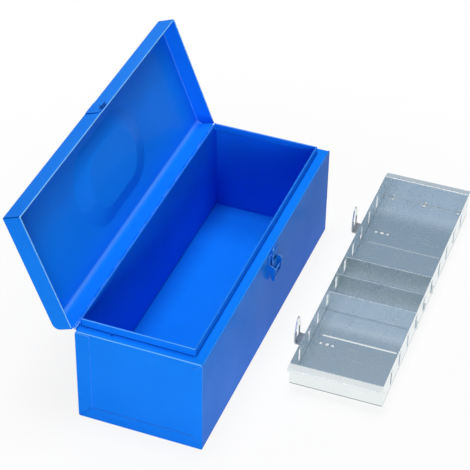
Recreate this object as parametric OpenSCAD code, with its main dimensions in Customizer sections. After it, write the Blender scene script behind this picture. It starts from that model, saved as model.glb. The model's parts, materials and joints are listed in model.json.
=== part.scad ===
/* [Box] */
// Length over the end flanges
box_l = 500; // [380:1:700]
// Depth from front face to rear face
box_w = 177; // [150:0.1:260]
// Height of the ledge that the lid closes on
box_h = 148; // [120:0.1:260]
// Height of the lip above the ledge
lip_h = 12; // [9:0.1:16]
// Width of the ledge along the front
front_ledge = 14.8; // [12:0.1:25]
// Width of the ledge along each end
end_ledge = 14; // [12:0.1:25]
// Step that takes the rear wall inside the lid
rear_step = 2; // [1.8:0.1:3]
// Thickness of the box and lid sheet
sheet = 1; // [0.8:0.1:1.2]
// Bend radius at the middle of the sheet
bend_r = 1.5; // [1.2:0.1:2]
// Height of the folded hem along the lips and the lid rim
hem_h = 6; // [4:0.1:8]
// Width of the wrapper flange over the end panel, at the bottom and rear
flange_w = 20; // [15:0.1:30]
// Width of the wrapper flange over the end panel, at the front
front_flange_w = 15; // [12:0.1:25]
// Distance of the drain hole behind the middle of the near end ledge
drain_y = 41; // [20:0.1:60]
// Radius of the drain hole
drain_r = 1.6; // [1:0.1:2]

/* [Lid] */
// Height of the lid from rim to top
lid_d = 27; // [24:0.1:50]
// Gap between the closed lid's rim and the ledge
rim_gap = 0.3; // [0.2:0.1:0.6]
// Angle that the lid stands open
lid_open = 111; // [95:1:115]
// Radius of the soft bend along the rear of the lid
lid_bend_r = 9; // [5:0.1:12]
// Length of the dish for the handle at the top of the lid
dish_l = 200; // [180:1:240]
// Width of the dish at the top of the lid
dish_w = 116; // [100:1:125]
// Depth of the dish
dish_depth = 7.5; // [6:0.1:9]
// Width of the sloping side along the length of the dish
dish_slope = 20; // [15:0.1:25]
// Length of the sloping side at each end of the dish
dish_end_slope = 33; // [25:0.1:40]

/* [Hinge] */
// Length of the hinge
hinge_l = 488; // [300:1:650]
// Number of knuckles on both leaves together
knuckles = 23; // [11:2:31]
// Outer radius of the knuckles
knuckle_r = 2.15; // [2:0.05:3]
// Radius of the hinge pin
hinge_pin_r = 1.2; // [1:0.05:1.4]
// Thickness of the leaves
leaf_t = 0.8; // [0.6:0.05:1]
// Height of each leaf from the hinge axis
leaf_h = 17; // [12:0.1:20]

/* [Handle] */
// Radius of the bail rod
rod_r = 3.5; // [3:0.1:3.5]
// Distance between the middles of the bail's legs
grip_l = 100; // [90:0.1:110]
// Distance from the pivot to the middle of the grip
reach = 44; // [38:0.1:45]
// Distance of the pivot behind the middle of the lid
handle_y = 8; // [5:0.1:12]
// Thickness of the bracket strap
strap_t = 1.5; // [1:0.1:2]
// Width of the bracket strap
strap_w = 6; // [4:0.1:7]
// Length of each bracket foot from the pivot
strap_foot = 11; // [9:0.1:12]

/* [Latch] */
// Distance of the latch from the middle of the front
latch_x = 8; // [-50:0.1:50]
// Width of the base over its ears
latch_w = 29; // [26:0.1:36]
// Height of the base plate
latch_base_h = 43; // [40:0.1:50]
// Distance of the base plate's top edge below the ledge
latch_drop = 5; // [4:0.1:8]
// Thickness of the latch metal
latch_t = 1.2; // [1:0.1:1.4]
// Distance of the lever pivot from the front wall
pivot_out = 6; // [5.8:0.1:7]
// Distance of the lever pivot below the ledge
pivot_drop = 29; // [28:0.1:32]
// Distance of the link pin from the front wall
link_out = 5.4; // [5:0.1:5.6]
// Distance of the link pin below the lever pivot
link_drop = 7; // [6:0.1:8]
// Length of the lever from its pivot to the tip of the tongue
lever_l = 26; // [24:0.1:32]
// Radius of the lever's pivot rivets
rivet_r = 1.5; // [1.3:0.05:1.7]
// Radius of the link pin
link_pin_r = 1.25; // [1.1:0.05:1.3]
// Width of the slots in the link
slot_l = 14; // [12:0.1:16]
// Width of the hook on the catch plate
hook_w = 10; // [8:0.1:11]
// Height that the hook's nose stands above its floor
hook_h = 3; // [2:0.1:4]
// Width of the catch plate
catch_w = 28; // [24:0.1:34]

/* [Tray] */
// Gap between the hanging tray and the lip at each end
tray_end_gap = 7.9; // [5:0.1:9]
// Gap between the hanging tray and the lips in front and behind
tray_side_gap = 2; // [1:0.1:4]
// Height of the tray's rim over the surface it stands on
tray_h = 39.8; // [34:0.1:45]
// Thickness of the tray sheet
tray_sheet = 0.8; // [0.6:0.05:1]
// Bend radius at the middle of the tray sheet
tray_bend_r = 1; // [0.8:0.05:1.2]
// Length of the rest flange at each end of the tray
rest_l = 12.5; // [11:0.1:14]
// Height that the rest flange falls towards its outer edge
rest_fall = 1.6; // [1:0.1:2]
// Depth of the notch where the rest flange meets a long wall
rest_notch = 1.6; // [1:0.1:3]
// Height of the edge folded down on the rest flange
rest_hem = 4; // [3:0.1:6]
// Width of the foot flange of the long walls
wall_foot = 10; // [8:0.1:12]
// Width of the foot flange of the end walls
end_foot = 8; // [6:0.1:10]
// Number of divider slots in each long wall
slot_count = 10; // [8:1:12]
// Width of each divider slot
divider_slot_w = 6; // [3:0.1:7]
// Height of each divider slot
divider_slot_h = 21.8; // [20:0.1:22]
// Height of the lower end of the slots above the tray floor
divider_slot_z = 6.6; // [6:0.1:8]
// Distance of each small hole from the far edge of its slot
pilot_x = 3.2; // [3:0.1:5]
// Radius of the small hole by each slot
pilot_r = 2; // [1:0.05:2.2]
// Distance of the tray's middle along the box
tray_x = 137.5; // [-200:0.5:200]
// Gap between the box front and the standing tray
tray_gap = 40.3; // [20:0.1:80]
// Angle that the standing tray is turned
tray_turn = 0.75; // [-3:0.05:3]

/* [Dividers] */
// Height of a divider's top edge below the tray rim
divider_drop = 3.3; // [2:0.1:6]
// Running gap between a divider and what is round it
divider_gap = 0.4; // [0.3:0.05:0.6]
// Height of a divider's tab
tab_h = 12; // [10:0.1:13]
// Distance that a tab sticks out of the wall
tab_out = 3; // [2:0.1:4]

/* [Loops] */
// Distance of each loop from the middle of the tray
loop_x = 134; // [110:0.1:150]
// Width of the loops and their straps
loop_w = 24; // [18:0.1:30]
// Height of the loops
loop_h = 39.5; // [36:0.1:46]
// Thickness of the loops and straps
loop_t = 2; // [1.5:0.1:3]
// Distance from the tray's rear wall to the outside of the loops
loop_standoff = 20.2; // [16:0.1:25]
// Width of the window in a loop
window_w = 14; // [10:0.1:18]
// Height of the window's top edge
window_top = 23; // [18:0.1:26]
// Width that a loop has left at its top
loop_top_w = 10; // [8:0.1:14]
// Height where a loop begins to taper
taper_z = 21; // [16:0.1:26]

/* [Hidden] */
$fn = 48;

// Clearances and small amounts
run_gap = 0.05;
move_gap = 0.3;
side_gap = 0.4;
fixed_gap = 0.01;
film = 0.01;
seam = 0.1;
over = 1;
arc_steps = 5;

// Colours
paint = [0.09, 0.36, 0.74];
zinc = [0.66, 0.69, 0.70];
plated = [0.72, 0.72, 0.70];

// Box outline and lips
front_y = -box_w / 2;
rear_y = box_w / 2;
end_x = box_l / 2;
lip_top = box_h + lip_h;
hem_air = 0.2;
hem_step = sheet + hem_air;
hem_r = hem_step / 2 - film;
hem_t = sheet + hem_step;
front_lip_y = front_y + front_ledge;
rear_lip_y = rear_y - rear_step;
end_lip_x = end_x - end_ledge;
opening_l = 2 * (end_lip_x - hem_t);
opening_w = rear_lip_y - front_lip_y - 2 * hem_t;
step_run = 3;
step_end = box_h + 0.5;
step_start = step_end - step_run;
rear_notch = 4;
flange_seam = 0.4;
seam_start = 2.5;
flange_stop = 10;
front_flange_top = box_h - flange_stop;
mitre_run = 1.25;
drain_edge = 1.5;

// Hinge and lid
hinge_y = rear_y + knuckle_r + move_gap;
hinge_drop = 0.2;
hinge_z = box_h - hinge_drop;
rim_z = box_h + rim_gap;
lid_top = box_h + lid_d + rim_gap;
panel_z = lid_top - sheet / 2;
knuckle_pitch = hinge_l / knuckles;
knuckle_gap = 0.3;
neck_lap = 0.5;
dish_floor_z = lid_top - dish_depth;
dish_fn = 96;

// Handle
rod_rise = 0.5;
handle_z = dish_floor_z + rod_r + rod_rise;
leg_bend = 8;
end_bend = 5;
bracket_gap = 0.5;
bracket_x = grip_l / 2 + end_bend + bracket_gap;
rod_proud = 1.5;
rod_end_x = bracket_x + strap_w + rod_proud;
hang_angle = 270 - lid_open;

// Latch, with distances outward from the front wall
base_top = box_h - latch_drop;
base_bottom = base_top - latch_base_h;
pivot_z = box_h - pivot_drop;
link_z = pivot_z - link_drop;
ear_r = 3.8;
ear_half_h = 9;
ear_corner_r = 3.3;
ear_x = latch_w / 2 - latch_t;
lever_x = ear_x - side_gap;
link_x = lever_x - latch_t - side_gap;
link_in = 3.2;
link_ring_t = 1;
link_ring_r = link_pin_r + run_gap + link_ring_t;
link_corner_r = 4;
rivet_head_t = 0.8;
rivet_head_r = rivet_r + 1;
hook_floor_z = rim_z + 0.7;
hook_reach = 6.3;
bar_z = hook_floor_z + latch_t + move_gap;
bar_h = 3.2;
upper_slot_h = 6.8;
lower_slot_h = 6;
slot_bar_h = 8;
slot_corner_r = 1.5;
face_out = pivot_out + 1;
face_top = link_z - 5.5;
cheek_low = link_z - 3;
cheek_slope = 2;
cheek_reach = 2.5;
tongue_z = pivot_z - lever_l;
tongue_shoulder = tongue_z + 7;
tongue_set = 2.7;
tongue_bend_r = 4;
tongue_tip_r = 3;
tongue_side_r = 2;
catch_bottom = rim_z + 1.1;
catch_top = lid_top - 2;
catch_top_r = 1.5;
catch_low_r = 6;

// Tray, in its own axes
tray_l = opening_l - 2 * tray_end_gap;
tray_w = opening_w - 2 * tray_side_gap - loop_standoff;
tray_y = front_y - tray_gap - loop_standoff - tray_w / 2;
tray_floor_z = loop_t + tray_sheet;
wall_y = tray_w / 2;
end_wall_x = tray_l / 2;
slot_pitch = tray_l / (slot_count + 1);
slot_z = tray_floor_z + divider_slot_z;
slot_far_x = tray_sheet / 2 + divider_gap;
pilot_drop = 2;
pilot_z = slot_z + divider_slot_h - pilot_drop;
foot_end_x = end_wall_x - tray_sheet - tray_bend_r - seam;
joint_hole_edge = 5;
joint_hole_x = end_wall_x - joint_hole_edge;
joint_hole_z = 23;
joint_hole_r = 1.5;
tab_seat = 0.6;
tab_z = slot_z + tab_seat;
hook_drop = 3;
divider_z = tray_floor_z + tray_sheet + move_gap;
strap_inset = 6;
strap_end_y = strap_inset - wall_y;
loop_bend_r = 2.5;
loop_top_r = 5.5;
loop_side_r = 12;
window_sill = 2;
window_z = loop_t + window_sill;
window_low_r = 2;
window_top_r = 4;

// Directions, arcs and bent sheet
function heading(a, b) = (b - a) / norm(b - a);
function left_of(d) = [-d[1], d[0]];
function turned(d, a) = [d[0] * cos(a) - d[1] * sin(a), d[0] * sin(a) + d[1] * cos(a)];
function reversed(list) = [for (i = [len(list) - 1:-1:0]) list[i]];

// Points of the bend at corner p between headings d0 and d1, set off to the left
function bend(p, d0, d1, r, off) =
    let (turn = sign(d0[0] * d1[1] - d0[1] * d1[0]))
    let (sweep = acos(d0 * d1))
    let (centre = p - d0 * r * tan(sweep / 2) + left_of(d0) * turn * r)
    [for (i = [0:arc_steps])
        centre - left_of(turned(d0, turn * sweep * i / arc_steps)) * turn * (r - turn * off)];

// One side of a sheet bent along a path
function strip_side(path, radii, off) =
    let (last = len(path) - 1)
    let (d = [for (i = [0:last - 1]) heading(path[i], path[i + 1])])
    concat(
        [path[0] + left_of(d[0]) * off],
        [for (i = [1:last - 1]) each bend(path[i], d[i - 1], d[i], radii[i - 1], off)],
        [path[last] + left_of(d[last - 1]) * off]
    );

// Closed outline with each corner rounded, or left sharp where its radius is 0
function rounded(points, radii) =
    let (n = len(points))
    [for (i = [0:n - 1])
        let (before = heading(points[(i + n - 1) % n], points[i]))
        let (after = heading(points[i], points[(i + 1) % n]))
        each (radii[i] > 0 ? bend(points[i], before, after, radii[i], 0) : [points[i]])];

// Section of a sheet of thickness t bent along a path
module strip(path, radii, t) {
    polygon(concat(strip_side(path, radii, t / 2), reversed(strip_side(path, radii, -t / 2))));
}

// Section in Y and Z drawn out along X
module along_x(length) {
    rotate([90, 0, 90])
        linear_extrude(length, center = true)
            children();
}

// Section in X and Z drawn out along Y
module along_y(from, to) {
    translate([0, to, 0])
        rotate([90, 0, 0])
            linear_extrude(to - from)
                children();
}

// Round bar along X
module bar_x(from, to, r) {
    translate([from, 0, 0])
        rotate([0, 90, 0])
            cylinder(h = to - from, r = r);
}

// Square corner slab from low to high
module block(low, high) {
    translate(low)
        cube(high - low);
}

// The lid and what is on it, swung open about the hinge
module opened() {
    translate([0, hinge_y, hinge_z])
        rotate([-lid_open, 0, 0])
            translate([0, -hinge_y, -hinge_z])
                children();
}

// ---------------------------------------------------------------- box

// Space past the seam where the front ledge meets an end ledge, on the wrapper or panel side
module ledge_mitre(side, wrapper_side) {
    inner = [end_x - mitre_run * end_ledge, front_y + mitre_run * front_ledge];
    away = wrapper_side ? [end_x + over, inner[1]] : [inner[0], front_y - over];
    shift = wrapper_side ? -seam / 2 : seam / 2;
    translate([0, 0, box_h - 2 * sheet - seam])
        linear_extrude(lip_h + 4 * over)
            scale([side, 1])
                translate([shift, 0])
                    polygon([[end_x, front_y], inner, away, [end_x + over, front_y - over]]);
}

// Flanges of the wrapper over one end panel
module end_flanges(side) {
    outline = [
        [front_y, box_h - sheet],
        [front_y, 0],
        [rear_y, 0],
        [rear_y, step_start],
        [rear_y - flange_w, step_start],
        [rear_y - flange_w, flange_w],
        [front_y + front_flange_w, flange_w],
        [front_y + front_flange_w, front_flange_top]
    ];
    corner_r = bend_r + sheet / 2;
    difference() {
        translate([side * (end_x - sheet / 2), 0, 0])
            along_x(sheet)
                polygon(rounded(outline, [0, corner_r, corner_r, 0, 1, 0, 0, 1]));
        for (corner = [[front_y, front_flange_w], [rear_y, -flange_w]])
            corner_seam(side, corner[0], corner[1]);
    }
}

// Open seam between the bottom flange and a side flange
module corner_seam(side, corner_y, width) {
    seam_l = norm([width, flange_w]);
    translate([side * (end_x - sheet / 2), corner_y, 0])
        rotate([atan2(flange_w, width), 0, 0])
            translate([-sheet, seam_start, -flange_seam / 2])
                cube([2 * sheet, seam_l, flange_seam]);
}

module body_wrapper() {
    mid = sheet / 2;
    top = lip_top - mid;
    front_lip = front_lip_y + mid;
    rear_lip = rear_lip_y - mid;
    path = [
        [front_lip + hem_step, top - hem_h],
        [front_lip + hem_step, top],
        [front_lip, top],
        [front_lip, box_h - mid],
        [front_y + mid, box_h - mid],
        [front_y + mid, mid],
        [rear_y - mid, mid],
        [rear_y - mid, step_start],
        [rear_lip, step_end],
        [rear_lip, top],
        [rear_lip - hem_step, top],
        [rear_lip - hem_step, top - hem_h]
    ];
    radii = [hem_r, hem_r, bend_r, bend_r, bend_r, bend_r, bend_r, bend_r, hem_r, hem_r];
    color(paint) {
        difference() {
            along_x(box_l - 2 * sheet)
                strip(path, radii, sheet);
            for (side = [-1, 1]) {
                ledge_mitre(side, true);
                scale([side, 1, 1])
                    block(
                        [end_lip_x, rear_lip_y - rear_notch, step_start],
                        [end_x + over, rear_y + over, lip_top + over]
                    );
            }
        }
        for (side = [-1, 1])
            end_flanges(side);
    }
}

// End panel with its ledge and lip, drawn at the far end
module end_panel(drain) {
    mid = sheet / 2;
    panel_x = end_x - sheet - mid;
    lip_x = end_lip_x - mid;
    top = lip_top - mid;
    half_w = rear_y - sheet;
    path = [
        [panel_x, sheet],
        [panel_x, box_h - mid],
        [lip_x, box_h - mid],
        [lip_x, top],
        [lip_x - hem_step, top],
        [lip_x - hem_step, top - hem_h]
    ];
    inside = [[-half_w, sheet], [half_w, sheet], [half_w, lip_top], [-half_w, lip_top]];
    inside_r = bend_r - mid;
    difference() {
        intersection() {
            along_y(-half_w, half_w)
                strip(path, [bend_r, bend_r, hem_r, hem_r], sheet);
            along_x(box_l)
                polygon(rounded(inside, [inside_r, inside_r, 0, 0]));
        }
        ledge_mitre(1, false);
        block(
            [end_lip_x - 2 * hem_t, rear_lip_y - hem_t - seam, box_h + bend_r],
            [end_lip_x + over, rear_y, lip_top + over]
        );
        block(
            [end_lip_x - 2 * hem_t, rear_lip_y - hem_t - seam, box_h - 2 * sheet],
            [end_lip_x, rear_y, lip_top + over]
        );
        if (drain)
            translate([end_lip_x + drain_r + drain_edge, drain_y, box_h - 2 * sheet])
                cylinder(h = 3 * sheet, r = drain_r);
    }
}

module end_panel_near() {
    color(paint)
        mirror([1, 0, 0])
            end_panel(true);
}

module end_panel_far() {
    color(paint)
        end_panel(false);
}

// ---------------------------------------------------------------- hinge

// One leaf drawn in the closed position: up is 1 for the lid leaf and -1 for the body leaf
module hinge_leaf(up) {
    first = up > 0 ? 1 : 0;
    clear = knuckle_r + move_gap;
    translate([0, 0, hinge_z])
        scale([1, 1, up])
            block([-hinge_l / 2, rear_y, clear], [hinge_l / 2, rear_y + leaf_t, leaf_h]);
    for (i = [first:2:knuckles - 1])
        translate([-hinge_l / 2 + i * knuckle_pitch, 0, hinge_z])
            knuckle(up, knuckle_gap / 2, knuckle_pitch - knuckle_gap / 2);
}

// One knuckle and the neck that joins it to its leaf
module knuckle(up, from, to) {
    scale([1, 1, up])
        block([from, rear_y, 0], [to, rear_y + leaf_t, knuckle_r + move_gap + neck_lap]);
    translate([0, hinge_y, 0])
        difference() {
            bar_x(from, to, knuckle_r);
            bar_x(from - over, to + over, hinge_pin_r + run_gap);
        }
}

module hinge_body_leaf() {
    color(paint)
        hinge_leaf(-1);
}

module hinge_lid_leaf() {
    color(paint)
        opened()
            hinge_leaf(1);
}

module hinge_pin() {
    color(plated)
        translate([0, hinge_y, hinge_z])
            bar_x(-hinge_l / 2, hinge_l / 2, hinge_pin_r);
}

// ---------------------------------------------------------------- lid

// Flat stadium of length l and width w, from z up by h
module stadium(l, w, z, h) {
    translate([0, 0, z])
        linear_extrude(h)
            for (side = [-1, 1]) {
                translate([side * (l - w) / 2, 0])
                    circle(d = w, $fn = dish_fn);
                translate([side * (l - w) / 4, 0])
                    square([(l - w) / 2 + film, w], center = true);
            }
}

// Space of the dish, grown on all sides by grow
module dish_space(grow, top) {
    floor_l = dish_l - 2 * dish_end_slope;
    floor_w = dish_w - 2 * dish_slope;
    hull() {
        stadium(dish_l + 2 * grow, dish_w + 2 * grow, top - film, film);
        stadium(floor_l + 2 * grow, floor_w + 2 * grow, dish_floor_z - grow, film);
    }
}

module lid_shell() {
    mid = sheet / 2;
    front = front_y + mid;
    rear = rear_y - mid;
    path = [
        [front + hem_step, rim_z + hem_h],
        [front + hem_step, rim_z + mid],
        [front, rim_z + mid],
        [front, panel_z],
        [rear, panel_z],
        [rear, rim_z]
    ];
    radii = [hem_r, hem_r, bend_r, lid_bend_r];
    end_outline = [[front_y, rim_z], [rear_y, rim_z], [rear_y, lid_top], [front_y, lid_top]];
    color(paint)
        opened() {
            difference() {
                along_x(box_l - sheet)
                    strip(path, radii, sheet);
                dish_space(0, lid_top + 2 * film);
            }
            difference() {
                dish_space(sheet, lid_top - mid);
                dish_space(0, lid_top + 2 * film);
            }
            for (side = [-1, 1]) {
                translate([side * (end_x - mid), 0, 0])
                    along_x(sheet)
                        polygon(rounded(end_outline, [0, 0, lid_bend_r + mid, bend_r + mid]));
                translate([side * (end_x - hem_step - mid), 0, 0])
                    along_x(sheet)
                        translate([front_y + hem_t + seam, rim_z])
                            square([box_w - hem_t - sheet - 2 * seam, hem_h]);
                translate([side * (end_x - hem_step / 2), 0, 0])
                    along_x(hem_step)
                        translate([front_y + hem_t + seam, rim_z])
                            square([box_w - hem_t - sheet - 2 * seam, sheet]);
            }
        }
}

// ---------------------------------------------------------------- handle

// Strap over one end of the bail, drawn at the far end of the handle
module handle_bracket() {
    bore = rod_r + run_gap;
    translate([bracket_x + strap_w / 2, handle_y, 0])
        along_x(strap_w)
            difference() {
                union() {
                    translate([0, handle_z])
                        circle(r = bore + strap_t);
                    translate([-bore - strap_t, dish_floor_z])
                        square([2 * (bore + strap_t), handle_z - dish_floor_z]);
                    translate([-strap_foot, dish_floor_z])
                        square([2 * strap_foot, strap_t]);
                }
                translate([0, handle_z])
                    circle(r = bore);
                translate([-bore, dish_floor_z - 2 * over])
                    square([2 * bore, handle_z - dish_floor_z + 2 * over]);
            }
}

module handle_bracket_near() {
    color(paint)
        opened()
            mirror([1, 0, 0])
                handle_bracket();
}

module handle_bracket_far() {
    color(paint)
        opened()
            handle_bracket();
}

// A quarter of a ring of rod with its middle at the origin
module rod_elbow(r, start) {
    rotate(start)
        rotate_extrude(angle = 90)
            translate([r, 0])
                circle(r = rod_r);
}

// Half of the bail lying towards the front, with its pivot axis through the origin
module half_bail() {
    leg_x = grip_l / 2;
    translate([0, -reach, 0])
        bar_x(0, leg_x - leg_bend, rod_r);
    translate([leg_x - leg_bend, leg_bend - reach, 0])
        rod_elbow(leg_bend, -90);
    translate([leg_x, leg_bend - reach, 0])
        rotate([-90, 0, 0])
            cylinder(h = reach - leg_bend - end_bend, r = rod_r);
    translate([leg_x + end_bend, -end_bend, 0])
        rod_elbow(end_bend, 90);
    bar_x(leg_x + end_bend, rod_end_x, rod_r);
}

module carry_handle() {
    color(plated)
        opened()
            translate([0, handle_y, handle_z])
                rotate([-hang_angle, 0, 0]) {
                    half_bail();
                    mirror([1, 0, 0])
                        half_bail();
                }
}

// ---------------------------------------------------------------- latch

// Places the children at the latch, with their Y turned outward from the front wall
module at_latch() {
    translate([latch_x, front_y, 0])
        mirror([0, 1, 0])
            children();
}

module latch_base() {
    ear = [
        [0, pivot_z - ear_half_h],
        [pivot_out + ear_r, pivot_z - ear_r],
        [pivot_out + ear_r, pivot_z + ear_r],
        [0, pivot_z + ear_half_h]
    ];
    color(paint)
        at_latch()
            difference() {
                union() {
                    block([-latch_w / 2, 0, base_bottom], [latch_w / 2, latch_t, base_top]);
                    block([-link_x, 0, base_top - latch_t], [link_x, link_in - move_gap, base_top]);
                    for (side = [-1, 1])
                        translate([side * (latch_w - latch_t) / 2, 0, 0])
                            along_x(latch_t)
                                polygon(rounded(ear, [0, ear_corner_r, ear_corner_r, 0]));
                }
                translate([0, pivot_out, pivot_z])
                    bar_x(-latch_w, latch_w, rivet_r + fixed_gap);
            }
}

module latch_lever() {
    cheek = [
        [pivot_out - ear_r, pivot_z],
        [pivot_out - ear_r, cheek_low],
        [face_out - cheek_reach, tongue_shoulder],
        [face_out + latch_t, tongue_shoulder],
        [face_out + latch_t, face_top + cheek_slope],
        [pivot_out + ear_r, pivot_z]
    ];
    mid = face_out + latch_t / 2;
    tongue = [
        [-lever_x, face_top],
        [-lever_x, tongue_shoulder],
        [0, tongue_z - tongue_side_r],
        [lever_x, tongue_shoulder],
        [lever_x, face_top]
    ];
    color(paint)
        at_latch()
            difference() {
                union() {
                    for (side = [-1, 1])
                        translate([side * (lever_x - latch_t / 2), 0, 0])
                            along_x(latch_t) {
                                polygon(rounded(cheek, [0, tongue_side_r, 1, 0, 0, 0]));
                                translate([pivot_out, pivot_z])
                                    circle(r = ear_r);
                            }
                    intersection() {
                        along_x(2 * lever_x)
                            strip(
                                [[mid, face_top], [mid, tongue_shoulder], [mid - tongue_set, tongue_z]],
                                [tongue_bend_r],
                                latch_t
                            );
                        along_y(0, face_out + 2 * latch_t)
                            polygon(rounded(tongue, [0, tongue_side_r, tongue_tip_r, tongue_side_r, 0]));
                    }
                }
                translate([0, pivot_out, pivot_z])
                    bar_x(-latch_w, latch_w, rivet_r + run_gap);
                translate([0, link_out, link_z])
                    bar_x(-latch_w, latch_w, link_pin_r + fixed_gap);
            }
}

// Slot in the link, centred on X
module link_slot(z, h) {
    translate([-slot_l / 2, z])
        polygon(rounded([[0, 0], [slot_l, 0], [slot_l, h], [0, h]], [for (i = [0:3]) slot_corner_r]));
}

module latch_link() {
    top = bar_z + bar_h;
    slot_low = bar_z - upper_slot_h;
    plate = [[-link_x, link_z], [link_x, link_z], [link_x, top], [-link_x, top]];
    color(paint)
        at_latch()
            difference() {
                union() {
                    along_y(link_in, link_in + latch_t)
                        difference() {
                            polygon(rounded(plate, [0, 0, link_corner_r, link_corner_r]));
                            link_slot(slot_low, upper_slot_h);
                            link_slot(slot_low - slot_bar_h - lower_slot_h, lower_slot_h);
                        }
                    translate([0, link_out, link_z])
                        bar_x(-link_x, link_x, link_ring_r);
                }
                translate([0, link_out, link_z])
                    bar_x(-latch_w, latch_w, link_pin_r + run_gap);
            }
}

module latch_pivot_rivets() {
    head_x = latch_w / 2 + rivet_head_t;
    color(paint)
        for (side = [-1, 1])
            at_latch()
                scale([side, 1, 1])
                    translate([0, pivot_out, pivot_z]) {
                        bar_x(lever_x - latch_t, head_x, rivet_r);
                        bar_x(latch_w / 2, head_x, rivet_head_r);
                    }
}

module latch_link_pin() {
    color(paint)
        at_latch()
            translate([0, link_out, link_z])
                bar_x(-lever_x, lever_x, link_pin_r);
}

module catch_plate() {
    outline = [
        [-catch_w / 2, catch_top],
        [-catch_w / 2, catch_bottom],
        [catch_w / 2, catch_bottom],
        [catch_w / 2, catch_top]
    ];
    color(paint)
        opened()
            at_latch() {
                along_y(0, latch_t)
                    polygon(rounded(outline, [catch_top_r, catch_low_r, catch_low_r, catch_top_r]));
                block([-hook_w / 2, 0, hook_floor_z], [hook_w / 2, hook_reach, hook_floor_z + latch_t]);
                block(
                    [-hook_w / 2, hook_reach - latch_t, hook_floor_z],
                    [hook_w / 2, hook_reach, hook_floor_z + latch_t + hook_h]
                );
            }
}

// ---------------------------------------------------------------- tray

// Places the tray beside the box
module at_tray() {
    translate([tray_x, tray_y, 0])
        rotate(tray_turn)
            children();
}

module tray_floor() {
    color(zinc)
        at_tray()
            block([-end_wall_x, -wall_y, loop_t], [end_wall_x, wall_y, tray_floor_z]);
}

// Long wall drawn on the rear side, with its slots and holes
module long_wall() {
    mid = tray_sheet / 2;
    path = [
        [wall_y - wall_foot, tray_floor_z + mid],
        [wall_y - mid, tray_floor_z + mid],
        [wall_y - mid, tray_h]
    ];
    difference() {
        along_x(tray_l)
            strip(path, [tray_bend_r], tray_sheet);
        for (i = [0:slot_count - 1])
            translate([(i - (slot_count - 1) / 2) * slot_pitch, 0, 0])
                wall_slot();
        for (side = [-1, 1]) {
            wall_hole(side * joint_hole_x, joint_hole_z, joint_hole_r);
            scale([side, 1, 1])
                block(
                    [foot_end_x, wall_y - wall_foot - over, 0],
                    [end_wall_x + over, wall_y - tray_sheet, tray_floor_z + 2 * tray_bend_r]
                );
        }
    }
}

// One divider slot, which lets its divider lean on the far edge, with its small hole
module wall_slot() {
    block(
        [slot_far_x - divider_slot_w, wall_y - 2 * tray_sheet, slot_z],
        [slot_far_x, wall_y + over, slot_z + divider_slot_h]
    );
    wall_hole(slot_far_x + pilot_x, pilot_z, pilot_r);
}

// Round hole through the long wall
module wall_hole(x, z, r) {
    translate([x, wall_y + over, z])
        rotate([90, 0, 0])
            cylinder(h = tray_sheet + 2 * over, r = r);
}

module tray_wall_front() {
    color(zinc)
        at_tray()
            mirror([0, 1, 0])
                long_wall();
}

module tray_wall_rear() {
    color(zinc)
        at_tray()
            long_wall();
}

// End wall with its rest flange, drawn at the far end
module end_wall() {
    mid = tray_sheet / 2;
    inside_y = wall_y - tray_sheet;
    path = [
        [end_wall_x - end_foot, tray_floor_z + mid],
        [end_wall_x - mid, tray_floor_z + mid],
        [end_wall_x - mid, tray_h - mid],
        [end_wall_x + rest_l - mid, tray_h - mid - rest_fall],
        [end_wall_x + rest_l - mid, tray_h - rest_hem - rest_fall]
    ];
    difference() {
        along_y(-wall_y, wall_y)
            strip(path, [for (i = [0:2]) tray_bend_r], tray_sheet);
        for (side = [-1, 1])
            scale([1, side, 1]) {
                block(
                    [end_wall_x - 2 * end_foot, wall_y - wall_foot - seam, 0],
                    [foot_end_x + seam, wall_y, tray_floor_z + 2 * tray_bend_r]
                );
                block(
                    [end_wall_x - 2 * end_foot, inside_y, 0],
                    [end_wall_x + rest_notch, wall_y + over, tray_h + over]
                );
            }
    }
}

module tray_end_near() {
    color(zinc)
        at_tray()
            mirror([1, 0, 0])
                end_wall();
}

module tray_end_far() {
    color(zinc)
        at_tray()
            end_wall();
}

// Divider in the slots at a station counted from the middle of the tray
module divider(station) {
    half = wall_y - tray_sheet - divider_gap;
    tab_y = wall_y + tab_out;
    side_points = [
        [half, divider_z],
        [half, tab_z],
        [wall_y + divider_gap, tab_z],
        [wall_y + divider_gap, tab_z - hook_drop],
        [tab_y, tab_z - hook_drop],
        [tab_y, tab_z + tab_h],
        [half, tab_z + tab_h],
        [half, tray_h - divider_drop]
    ];
    color(zinc)
        at_tray()
            translate([station * slot_pitch, 0, 0])
                along_x(tray_sheet)
                    polygon(concat(side_points, [for (p = reversed(side_points)) [-p[0], p[1]]]));
}

module divider_near() {
    divider(-1.5);
}

module divider_middle() {
    divider(-0.5);
}

module divider_far() {
    divider(0.5);
}

// Upright loop with its strap under the tray floor
module tray_loop(x) {
    mid = loop_t / 2;
    out_y = wall_y + loop_standoff - mid;
    half = loop_w / 2;
    top_half = loop_top_w / 2;
    outline = [
        [-half, 0],
        [half, 0],
        [half, taper_z],
        [top_half, loop_h],
        [-top_half, loop_h],
        [-half, taper_z]
    ];
    window = [
        [-window_w / 2, window_z],
        [window_w / 2, window_z],
        [window_w / 2, window_top],
        [-window_w / 2, window_top]
    ];
    color(zinc)
        at_tray()
            translate([x, 0, 0])
                difference() {
                    intersection() {
                        along_x(loop_w)
                            strip([[strap_end_y, mid], [out_y, mid], [out_y, loop_h]], [loop_bend_r], loop_t);
                        along_y(strap_end_y, out_y + loop_t)
                            polygon(rounded(outline, [0, 0, loop_side_r, loop_top_r, loop_top_r, loop_side_r]));
                    }
                    along_y(out_y - loop_t, out_y + loop_t)
                        polygon(rounded(window, [window_low_r, window_low_r, window_top_r, window_top_r]));
                }
}

module tray_loop_near() {
    tray_loop(-loop_x);
}

module tray_loop_far() {
    tray_loop(loop_x);
}

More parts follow.
